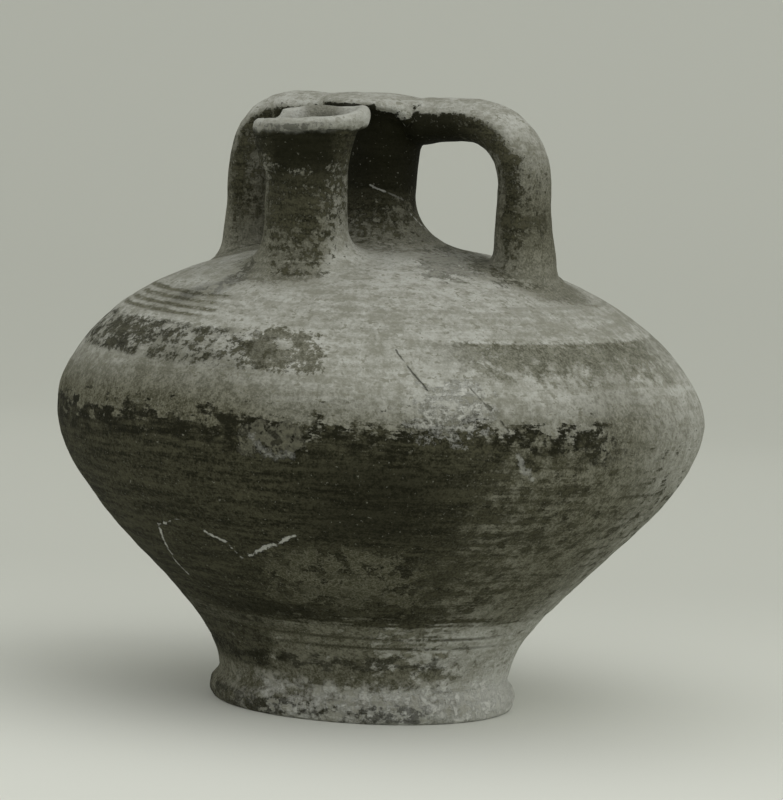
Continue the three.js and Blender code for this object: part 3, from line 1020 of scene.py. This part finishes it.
class Roots:
    """How far a place is from the neck, the arms and the spout, where its clay is rubbed, and where
    light is painted on.
    """

    def __init__(self, clay):
        radius = clay.beside(0, 0)
        self.lift = clay.height - CROWN[1] + DOME_FALL * radius * radius
        self.by_neck = clay.beside(NECK_X, 0)
        self.by_left, self.by_right = clay.beside(-ARM_ROOT, 0), clay.beside(ARM_ROOT, 0)
        self.by_tube = clay.beside(*spout_root[:2])
        from_tube = clay.place.vector("SUBTRACT", tuple(spout_root))
        self.up_tube = from_tube.along(spout_axes[:, 2])
        self.aside_tube = from_tube.along(screen_right)
        self.on_spout = self.by_tube.step(20, 14)
        # A painted highlight: a pale line down the spout's left edge, where the paint is taken off.
        self.tube_edge_highlight = self.aside_tube.step(-8.5, -11.5) * self.up_tube.step(33, 28)
        # Clay that faces right or up faces the window; paint taken off there is partly painted light.
        self.facing_right = clay.normal.along(screen_right)
        self.upward = clay.normal.along((0, 0, 1)).step(0.1, 0.78) * clay.height.step(146, 152)
        left_of_arm = (clay.place.along(-screen_right) - ARM_ROOT * screen_right[0]).step(1, 8)
        self.left_low = left_of_arm * self.lift.step(20, 6) * self.by_left.step(30, 20)


print("the arms meet the shoulder at a height of", round(shoulder_height(ARM_ROOT), 1), "mm")

# %% [markdown]
# A rub has a side: the paint has gone from the clay that faces a hand. On the stirrup and the
# spout it has also gone from what faces up and to the right, towards the window, and that part is
# painted light. The surface normal says which way clay faces, so a rub is a step on the normal,
# kept to the piece that it belongs to by a step on a distance. Heights and distances are in
# millimetres, and the number before a step is how much cover it adds or takes away. They are
# found with the picture beside ours.

# %% What the stirrup and the spout have kept
def stirrup_cover(clay, at):
    """How much paint the neck and the handles have kept."""
    z, lift = clay.height, at.lift
    off_neck = at.by_neck.step(20, 33)
    # Rubs on clay that faces right or up, and the pale tops, are partly wear and partly painted light.
    neck_wear_and_light = at.facing_right.step(-0.2, 0.7) * at.by_neck.step(30, 20) * z.step(148, 134)
    right_wear_and_light = at.facing_right.step(0.7, 1) * off_neck
    left_rub = at.facing_right.step(-0.5, -0.95) * at.by_neck.step(14, 22)
    facing_window = clay.normal.along(unit(screen_right - 0.2 * screen_back))
    hand_wear_and_light = facing_window.step(-0.4, 0.8) * off_neck
    wiped = grainy(clay.place, 2.2, detail=5, rough=0.68, stretch=(1, 1, 0.14))
    climb = lift * (1 - 0.28 * at.by_neck.step(16, 26))
    cover = 1.5 * climb.step(-1.5, 11) - 0.1 + 2 * (wiped - 0.5)
    cover = cover + 0.5 * at.by_neck.step(19, 14) * z.step(138, 148)
    cover = cover - 2.8 * at.upward - 0.7 * neck_wear_and_light - 0.7 * right_wear_and_light - 1.3 * at.left_low
    cover = cover - left_rub * (1.2 + 1.1 * lift.step(16, 4))
    return cover - hand_wear_and_light * (0.65 + 0.6 * z.step(132, 148) + lift.step(18, 4))


def spout_cover(at):
    """How much paint the spout has kept. Its right side is partly rubbed and partly painted light, and
    its left edge has a painted highlight.
    """
    rise, aside = at.up_tube, at.aside_tube
    right_wear_and_light = aside.step(2, 11) * (0.6 + 0.5 * rise.step(28, 10))
    smudge = stripe(aside, -8, 0, 3) * stripe(rise, 9, 22, 3)
    kept = 1.6 * at.lift.step(-6, 24) - 0.2 + 0.8 * rise.step(23, 31) + 0.5 * smudge
    return kept - right_wear_and_light - 0.9 * at.tube_edge_highlight


print("the rubbed side faces:", screen_right.round(2))

# %% The coats on the roots
LIP_EDGE = (34.3, 36.5)


def root_coats(clay):
    """Stain, grime, paint, painted shade and the bare lip, on the neck, the handles, the spout and their
    roots.
    """
    at = Roots(clay)
    z, rise, aside, on_spout = clay.height, at.up_tube, at.aside_tube, at.on_spout
    # Darker clay near the roots: partly grime, partly painted shade in the corners of the smears.
    near_roots = (at.by_tube.step(27, 13) * aside.step(12, 2)).most(at.by_neck.step(44, 13))
    near_roots = near_roots.most(at.by_left.step(34, 11)).most(at.by_right.step(26, 11))
    grime_and_shade = 0.8 * clay.remains(1.5 * near_roots - 0.5, 7) * z.step(112, 116) * z.step(150, 138)
    lip = on_spout * (rise - LIP_TILT * aside + clay.ragged(mottle=4)).step(*LIP_EDGE)
    lap = (gap_to(clay.place, marks["disc_lap"]) + clay.ragged(fine=4)).step(3.2, 1.4)
    on_stirrup = stirrup_cover(clay, at)
    cover = on_stirrup + on_spout * (spout_cover(at) - on_stirrup) - 2.5 * (lip + lap)
    knocked = grainy(clay.place, 2.6, detail=5, rough=0.7) - 0.5
    knocks = (4 + on_spout * (8 * rise.step(32, 22) - 4)) * knocked
    paint = clay.remains(cover + knocks, 8, 0.5) * at.lift.step(-1, 1)
    stain = (0.75 - 0.2 * on_spout) * at.lift.step(0, 12) * (1 - 0.6 * at.left_low)
    stain = stain * (1 - lip) * (1 - at.upward.most(lap))
    # Black on the neck and under the bar is paint deepened by painted shade; under the spout's lip it is
    # a painted shadow.
    black = at.by_neck.step(19, 14) * z.step(135, 146)
    black = black.most(at.by_neck.step(38, 24) * z.step(147, 153))
    black = black + on_spout * rise.step(16, 29) * aside.step(10, 4) * (1 - at.tube_edge_highlight)
    # Painted shade inside the spout's mouth.
    mouth = at.by_tube.step(13.2, 11.8) * rise.step(30, 34) * stripe(aside, -2.5, 7.5, 2)
    coats = [(clay.stain, stain), (clay.stain, grime_and_shade), (clay.paint, paint)]
    coats += [(BLACK_PAINT, 0.9 * paint * black), (PALE_CLAY, 0.5 * lip), (clay.stain, 0.7 * mouth)]
    return coats, PAINT_RELIEF * paint


print("the lip is bare above", LIP_EDGE[1], "mm of the spout's own height")

# %% [markdown]
# ## Painted body
# The painter held a brush to the turning jar, so every line is level: fine lines on the
# shoulder, a broad band below them, and a dark belly. Height places them. The paint has flaked
# since, most on the right, where it is worn to a stain, so its cover follows the turn round the
# jar. A full turn would meet itself in a hard seam at the back, so behind the jar our turn runs
# back again: the wear there is the mirror of the wear in front. Steps on the turn are in
# degrees, less than zero on the left and 0 straight in front of the camera.

# %% Turn and flakes
BELLY_LOW = 27.6
BELLY_FRAY = 1.5
WOBBLE_SCALE = 0.35


class BodyClay(Clay):
    """Clay that knows its turn round the jar, in degrees, how paint flakes from it, and two
    places pushed about by noise, a little and far, for marks that have to be crooked."""

    def __init__(self, name):
        super().__init__(name)
        sideways, towards = self.place.along(screen_right), self.place.along(-screen_back)
        self.turn = sideways.math("ARCTAN2", sideways, towards.math("ABSOLUTE", towards)) * (180 / pi)
        self.flake = grainy(self.place, 3.2, detail=5, rough=0.7, stretch=(0.6, 0.6, 1))
        self.blobs = grainy(self.place, 3.4, detail=5, rough=0.66, stretch=(0.8, 0.8, 1))
        wobble = {"Vector": self.place, "Scale": WOBBLE_SCALE, "Detail": 3.0}
        push = self.place.node("TexNoise", {}, wobble, "Color").vector("SUBTRACT", (0.5, 0.5, 0.5))
        self.nearly = self.place.vector("ADD", push)
        self.astray = self.place.vector("ADD", push.times(3))
        ragged_low = self.height + self.ragged(streak=16, flake=10)
        self.above_foot = ragged_low.step(BELLY_LOW - BELLY_FRAY, BELLY_LOW + BELLY_FRAY)


print("the belly's paint starts at", BELLY_LOW, "mm")

# %% [markdown]
# The belly was one dark coat. Today it is four things, one over the other: a smoky cloud that
# reaches past its edge, a stain that has soaked into the clay, flakes of the paint itself, and
# black remains where the paint lay thickest, under the edge. Each is a coat of its own with its
# own share, because one coat with one noise would wear the same way everywhere.

# %% Smoke and black rim
SMOKE_FULL = 85
SMOKE_TOP = 101


def belly_smoke(clay):
    """The thin dark cloud that reaches above the belly's edge."""
    turn = clay.turn
    to_left, to_right = stripe(turn, -52, -24, 7), stripe(turn, 37, 55, 8)
    top = SMOKE_TOP + 9 * to_left - 5 * turn.step(-18, 5) + 8 * to_right
    share = 1 - 0.25 * turn.step(-30, -8) - 0.2 * turn.step(2, 18)
    share = share + 0.3 * to_right - 0.3 * turn.step(52, 75)
    return clay.height.step(top, SMOKE_FULL) * clay.above_foot * share * clay.remains(1.1, 5)


def belly_rim(clay, below_edge):
    """Black remains in a ragged rim under the belly's edge."""
    turn = clay.turn
    rim = below_edge.step(-1, 0.6) * below_edge.step(10, 4)
    gather = clay.blobs + 0.05 * turn.step(15, -20) + 0.08 * patch(clay.place, "black_flakes", 17, 6)
    left_over = (gather + clay.ragged(fine=0.5)).step(0.5, 0.6)
    return 0.9 * rim * left_over * (turn + clay.ragged(blobs=70)).step(52, 40)


print("smoke thins out from", SMOKE_FULL, "to", SMOKE_TOP, "mm")

# %% The dark belly
BELLY_EDGE = 84.6


def belly_coats(clay):
    """The dark belly: smoke, a stain, the worn paint on it and the black remains."""
    turn, z, place = clay.turn, clay.height, clay.place
    edge = BELLY_EDGE + 1.2 * stripe(turn, 8, 34, 6) - 3.5 * turn.step(36, 54) - 2 * turn.step(-48, -62)
    below_edge = edge + clay.ragged(flake=30, streak=14) - z
    inside = below_edge.step(-1.4, 2.4) * clay.above_foot
    worn = turn.step(34, 50) * z.step(62, 74) + turn.step(18, 40) * z.step(40, 32)
    blotches = (clay.blobs + 0.5 * clay.streak - 0.75) * turn.step(6, 34)
    stain = 0.97 - 0.45 * turn.step(38, 60) - 0.45 * turn.step(60, 85) - 0.5 * worn + 1.9 * blotches
    bare = patch(place, "worn_patch", 18, 9, clay.ragged(mottle=14, fine=8))
    bare = bare + 0.5 * patch(place, "scuffed_belly", 19, 5, clay.ragged(mottle=9))
    low_wear = 0.35 * stripe(z, 36, 51, 4) * turn.step(-55, -30)
    cover = 1.45 - turn.step(3, 32) - 0.7 * turn.step(30, 50) - 0.65 * worn + 8 * blotches
    paint = inside * clay.remains(cover - bare - low_wear, 7 + 4 * turn.step(5, 35), 0.5)
    rim = belly_rim(clay, below_edge)
    middle = 0.55 * stripe(turn, -12, 12, 9) * stripe(z, 54, 76, 4)
    base = 0.6 * stripe(z, 28.5, 33, 1.5) * stripe(turn, -52, -8, 12)
    coats = [(clay.stain, belly_smoke(clay)), (clay.stain, inside * stain.most(0))]
    coats += [(clay.paint, paint), (BLACK_PAINT, rim.most(middle + base))]
    return coats, PAINT_RELIEF * paint + 0.15 * rim


print("dark belly:", BELLY_LOW, "to", BELLY_EDGE, "mm")

# %% [markdown]
# The band and the fine lines were drawn with a brush held still. On the left the band is left in
# flakes and on the right as a thin wash with a darker upper brink. The lines could be four
# stripes; the fraction of a count of line steps gives all four from one stripe.

# %% The band and the fine lines
BAND_LOW = 97.3
BAND_TOP = 106.2
LINES_LOW = 107.6
LINES_TOP = 114.2
LINE_STEP = 1.65
FAR_LINE = (114.2, 114.9)


def band_coats(clay):
    """The broad band on the shoulder: a wash on the right, flakes on the left, one slick."""
    turn, z, place = clay.turn, clay.height, clay.place
    low_edge = BAND_LOW - 1.5 * turn.step(10, 30)
    in_band = stripe(z + clay.ragged(fine=5), low_edge, BAND_TOP, 0.5)
    broken = 0.55 * clay.blobs + 0.45 * clay.fine - 0.5
    rightward = turn.step(4, 22) * (1 - 0.5 * turn.step(62, 78))
    left_over = 0.42 + 0.6 * z.step(BAND_LOW, BAND_TOP - 1.5) + 6 * broken
    wash = in_band * rightward * left_over.step(0.15, 0.85)
    brink = stripe(z, BAND_TOP - 0.6, BAND_TOP + 0.1, 0.25) * rightward * clay.remains(0.6, 5)
    faint = 0.3 * stripe(z, LINES_LOW, LINES_TOP, 1) * stripe(turn, -70, -46, 8)
    slick = patch(place, "thin_patch", 10, 5, clay.ragged(mottle=6, fine=5))
    slick = slick * (1 - patch(place, "thin_patch_hole", 2.2, 1.2, clay.ragged(fine=6)))
    cover = 0.85 - 0.35 * turn.step(-62, -45) - 0.15 * turn.step(-45, -28) - turn.step(-28, -4)
    cover = cover - 0.4 * turn.step(-64, -74) * turn.step(-90, -80)
    flakes = in_band * (cover + 7 * broken).step(0.2, 0.8)
    coats = [(clay.wash, wash), (clay.stain, (0.7 * brink).most(faint)), (clay.stain, 0.8 * slick)]
    return [*coats, (clay.paint, 0.95 * flakes)], 0.15 * flakes


def line_coats(clay):
    """The fine lines above the band, and a last one far round on the right."""
    turn, z = clay.turn, clay.height
    count = (z - LINES_LOW + clay.ragged(mottle=1.2)) * (1 / LINE_STEP)
    seen = 0.9 * stripe(turn + clay.ragged(blobs=50), -86, -41, 6) + 0.14
    lines = stripe(count.math("FRACT", count), 0.26, 0.76, 0.16) * stripe(z, LINES_LOW, LINES_TOP, 0.05)
    lines = lines * seen * clay.remains(0.95, 11)
    far_line = stripe(z, *FAR_LINE, 0.2) * turn.step(24, 36) * clay.remains(0.5, 5)
    return [(clay.stain, lines.most(0.6 * far_line))], 0


print("band:", BAND_LOW, "to", BAND_TOP, "mm, then", int((LINES_TOP - LINES_LOW) / LINE_STEP), "lines")

# %% [markdown]
# Two thin lines ring the stem below the belly, and the foot was painted too. Standing and
# sliding have worn most of that away: a ragged hoop is left on the foot's top and a black rim
# at its bottom, and a chalky bloom lies over the rest. The hoop and the rim are stripes of height
# whose edges a noise moves up and down.

# %% The stem and the foot
LOW_LINES = (24.2, 21.4)
LINE_HALF = 0.4
FOOT_BAND = 16.4


def stem_coats(clay):
    """The two lines above the foot, and the stain and the paint that are left below the belly."""
    turn, z = clay.turn, clay.height
    below = 1 - clay.above_foot
    broken = 0.55 * clay.blobs + 0.45 * clay.rough - 0.5
    lighter = z.step(11, 8) * turn.step(-54, -30)
    on_foot = turn - 16 * z.step(17, 12)
    left_over = 1.6 - 1.8 * on_foot.step(-30, 54) - 1.3 * lighter
    coats = [(clay.stain, 0.95 * below * (left_over + 10 * broken).step(0.1, 0.9))]
    for level in LOW_LINES:
        line = stripe(z, level - LINE_HALF, level + LINE_HALF, 0.3) * turn.step(62, 25)
        coats.append((clay.paint, 0.9 * line * clay.remains(0.7, 9)))
    shade = below * z.step(10.5, 14) * (1.2 - 1.8 * turn.step(-50, -10) + 6 * broken).step(0.1, 0.9)
    return [*coats, (clay.paint, 0.85 * shade)], 0


def foot_coats(clay):
    """The chalky bloom on the foot, the black hoop on its top and the black rim at its bottom."""
    turn, z = clay.turn, clay.height
    crumbs = clay.blobs + clay.ragged(fine=0.5)
    hoop = stripe(z - clay.ragged(flake=16), FOOT_BAND - 1.1, FOOT_BAND + 1, 0.5) * turn.step(42, 24)
    hoop = hoop * crumbs.step(0.39, 0.5)
    rim = stripe(z - clay.ragged(flake=5), 0.7, 5, 0.5) * turn.step(36, 20)
    gather = 0.03 * turn.step(-32, -48) - 0.05 * stripe(turn, -34, 6, 4) + 0.05 * stripe(turn, 10, 22, 4)
    rim = rim * (crumbs + gather).step(0.47, 0.55)
    bloom = (clay.mottle + clay.ragged(fine=0.5)).step(0.46, 0.6) * z.step(13, 9) * turn.step(-70, -30)
    pale_side = z.step(14, 9) * turn.step(32, 56)
    chalk = (0.4 + 0.5 * turn.step(25, 52)) * (bloom + 0.6 * pale_side)
    coats = [(CHALK, chalk), (BLACK_PAINT, (0.62 * hoop).most(0.65 * rim))]
    return coats, 0.2 * hoop.most(rim) + 0.3 * bloom


print("lines on the stem:", LOW_LINES, "mm, hoop on the foot:", FOOT_BAND, "mm")

# %% [markdown]
# ## Scars
# Cracks, chips, a crust and a few scuffs each happened once, at one place. A picture laid on the
# jar could show them, but it would be tied to one view and one size. The marks that we found on
# the clay give lines and patches instead. The place is pushed about by a noise before we measure
# the distance to a mark, so a straight mark comes out as crooked as a crack is.

# %% Scar coats
NEAR_MARKS = (
    "long_crack", "short_crack", "crack_pit", "left_chip", "chip_hook", "middle_chip", "right_chip",
)


def grime_and_shade_scars(clay):
    """A painted shadow along the crease beside the spout, fading into grime; grime at the right arm's
    root; painted shade between the neck and the right arm.
    """
    # A painted shadow under the left root's pad, fading into grime further along the crease.
    crease = (gap_to(clay.astray, marks["root_crease"]) + clay.ragged(fine=7.5)).step(7, 0.3)
    crease = crease * clay.remains(0.55)
    grime_and_shade = patch(clay.place, "root_dirt", 7, 3.2, clay.ragged(mottle=10)) * clay.remains(0.7)
    # Painted shade in the gap between the neck and the right arm.
    in_gap = patch(clay.place, "gap_shade", 9, 4, clay.ragged(mottle=10))
    grime_and_shade = grime_and_shade.most(in_gap * clay.remains(0.55, 8, 0.7))
    return [(clay.paint, 0.55 * crease), (clay.paint, 0.8 * grime_and_shade)], -0.8 * crease


def crust_scars(clay):
    """A brown crust with its pale drip and its black pit, and a pale crust on the right."""
    crust = patch(clay.place, "crust", 7.5, 4.6, clay.ragged(mottle=10)) * clay.remains(0.9, 4)
    drip = (gap_to(clay.nearly, marks["crust_rim"]) + clay.ragged(fine=6)).step(1.6, 0.1)
    pit = (gap_to(clay.place, marks["crust_pit"]) + clay.ragged(fine=1.5)).step(0.9, 0.3)
    pale = patch(clay.place, "pale_crust", 10, 7.5, clay.ragged(mottle=14)) * clay.remains(0.6)
    coats = [(LIGHT_STAIN, 0.6 * crust), (CHALK, 0.28 * drip)]
    coats += [(BLACK_PAINT, 0.7 * pit), (CHALK, 0.45 * pale)]
    return coats, 0.8 * crust + 0.8 * drip - 0.8 * pit + 0.3 * pale


def crack_scars(clay):
    """Two cracks, the pale chips on the belly and one scuff."""
    gaps = {name: gap_to(clay.nearly, marks[name]) for name in NEAR_MARKS}
    cracks = gaps["long_crack"].least(gaps["short_crack"]).step(0.34, 0.08)
    cracks = cracks.most((gaps["crack_pit"] + clay.ragged(fine=1.5)).step(0.8, 0.2))
    chips = gaps["left_chip"].least(gaps["chip_hook"] + 0.1)
    chips = chips.least(gaps["middle_chip"]).least(gaps["right_chip"] - 0.15)
    chips = (chips + clay.ragged(fine=2.4, mottle=2)).step(0.45, 0.1)
    scuff = (gap_to(clay.astray, marks["scuff"]) + clay.ragged(fine=3)).step(1.2, 0.2)
    coats = [(clay.paint, 0.7 * cracks), (CHALK, 0.75 * chips), (PALE_CLAY, 0.5 * scuff)]
    return coats, -0.6 * cracks - 0.3 * chips


print("cracks, pits and chips:", len(NEAR_MARKS))

# %% [markdown]
# ## Dressing
# Three finishes dress eight pieces. The body's carries every coat, one over the other: belly,
# band, lines, stem, foot, roots and scars. The spout's carries the root coats alone, and the
# stirrup's adds three scratches on the neck. One finish for all would work too, but it would
# be slow, because every piece would work out every coat.

# %% Finishes
BODY_COATS = (
    belly_coats, band_coats, line_coats, stem_coats, foot_coats, root_coats,
    grime_and_shade_scars, crust_scars, crack_scars,
)
SCRATCHES = {"long_scratch": 0.5, "faint_scratch": 0.2, "short_scratch": 0.5}


def body_finish():
    clay = BodyClay("body_clay")
    parts = [part(clay) for part in BODY_COATS]
    coats = sum((layers for layers, _ in parts), [])
    return clay.finish(coats, sum(relief for _, relief in parts))


def stirrup_finish():
    clay = Clay("stirrup_clay")
    coats, relief = root_coats(clay)
    for name, strength in SCRATCHES.items():
        scratch = gap_to(clay.place, marks[name]) + clay.ragged(fine=1.6)
        coats.append((CHALK, strength * scratch.step(0.27, 0.06)))
    return clay.finish(coats, relief)


def spout_finish():
    clay = Clay("spout_clay")
    return clay.finish(*root_coats(clay))


print("the body's finish has", len(BODY_COATS), "sets of coats")

# %% Dress the pieces
dressed = [
    (body_finish(), (lower_body, shoulder, foot)),
    (stirrup_finish(), (neck, disc, *handles)),
    (spout_finish(), (spout,)),
]
for finish, pieces in dressed:
    for piece in pieces:
        piece.data.materials.clear()
        piece.data.materials.append(finish)
    print(finish.name, "on", [piece.name for piece in pieces])

# %% [markdown]
# ## Light and floor
# A pale sweep stands behind the jar: floor and backdrop are one sheet of paper with a bend, so
# no line shows where they meet. Its colour darkens a little towards the back, which is painted
# shade standing in for light that falls off with distance. The backdrop's brightness comes from
# that colour alone, so the jar is lit at a plain level.

# %% Sweep
# Painted light and shade: lighter paper in front, darker behind.
FLOOR_COLOUR = linear(209, 211, 201)
FAR_FLOOR_COLOUR = linear(187, 189, 179)
BACKDROP_COLOUR = linear(174, 176, 166)
FLOOR_FADE = (-0.05, 0.3)
BACKDROP_FADE = (0.62, 1.1)
PAPER_ROUGHNESS = 0.9


def sweep_finish():
    material = bpy.data.materials.new("sweep")
    material.use_nodes = True
    tree = material.node_tree
    depth = Wire(tree).node("TexCoord", {}, {}, "Object").along(screen_back)
    shader = tree.nodes["Principled BSDF"]
    # The paper's colour darkens with depth, as painted shade.
    floor = depth.step(*FLOOR_FADE).between(FLOOR_COLOUR, FAR_FLOOR_COLOUR)
    colour = depth.step(*BACKDROP_FADE).between(floor, BACKDROP_COLOUR)
    tree.links.new(colour.socket, shader.inputs["Base Color"])
    shader.inputs["Roughness"].default_value = PAPER_ROUGHNESS
    return material


SWEEP_NEAR = -1.6
SWEEP_BACK = 1.5
SWEEP_TOP = 2.6
SWEEP_HALF = 2.5
SWEEP_BEND = 0.7
bend_points = [
    (SWEEP_BACK - SWEEP_BEND + SWEEP_BEND * sin(a), SWEEP_BEND - SWEEP_BEND * cos(a))
    for a in np.linspace(0, pi / 2, 17)
]
sweep_line = [(SWEEP_NEAR, 0), *bend_points, (SWEEP_BACK, SWEEP_TOP)]
sweep_turn = np.stack([screen_right, screen_back, [0, 0, 1]], 1)
sweep_points = [sweep_turn @ [x, y, z] for y, z in sweep_line for x in (-SWEEP_HALF, SWEEP_HALF)]
sweep_faces = [(2 * i, 2 * i + 1, 2 * i + 3, 2 * i + 2) for i in range(len(sweep_line) - 1)]
sweep_mesh = bpy.data.meshes.new("sweep")
sweep_mesh.from_pydata([tuple(p) for p in sweep_points], [], sweep_faces)
sweep_mesh.shade_smooth()
sweep_mesh.materials.append(sweep_finish())
sweep = bpy.data.objects.new("sweep", sweep_mesh)
bpy.context.scene.collection.objects.link(sweep)
print("sweep:", len(sweep_faces), "faces,", SWEEP_BACK - SWEEP_NEAR, "m deep")

# %% [markdown]
# One broad window stands at the upper right, in front of the jar, and a white sky fills the
# shadows from all round. A small lamp would draw a hard shadow on the floor; the larger the
# window, the softer its edge.

# %% Window and sky
WINDOW_PLACE = (1.3, -1.0, 1.7)
WINDOW_SIZE = 2.6
WINDOW_POWER = 16
LIT_POINT = Vector((0, 0, 0.09))
SKY_STRENGTH = 0.95
light = bpy.data.lights.new("window", "AREA")
light.size = WINDOW_SIZE
light.energy = WINDOW_POWER
window = bpy.data.objects.new("window", light)
window.location = sweep_turn @ WINDOW_PLACE
window.rotation_euler = (LIT_POINT - window.location).to_track_quat("-Z", "Y").to_euler()
bpy.context.scene.collection.objects.link(window)
world = bpy.data.worlds.new("studio")
world.use_nodes = True
sky = world.node_tree.nodes["Background"]
sky.inputs["Color"].default_value = (1, 1, 1, 1)
sky.inputs["Strength"].default_value = SKY_STRENGTH
bpy.context.scene.world = world
bpy.context.scene.view_settings.view_transform = "Standard"
print("window at, m:", [round(v, 2) for v in window.location])

# %% [markdown]
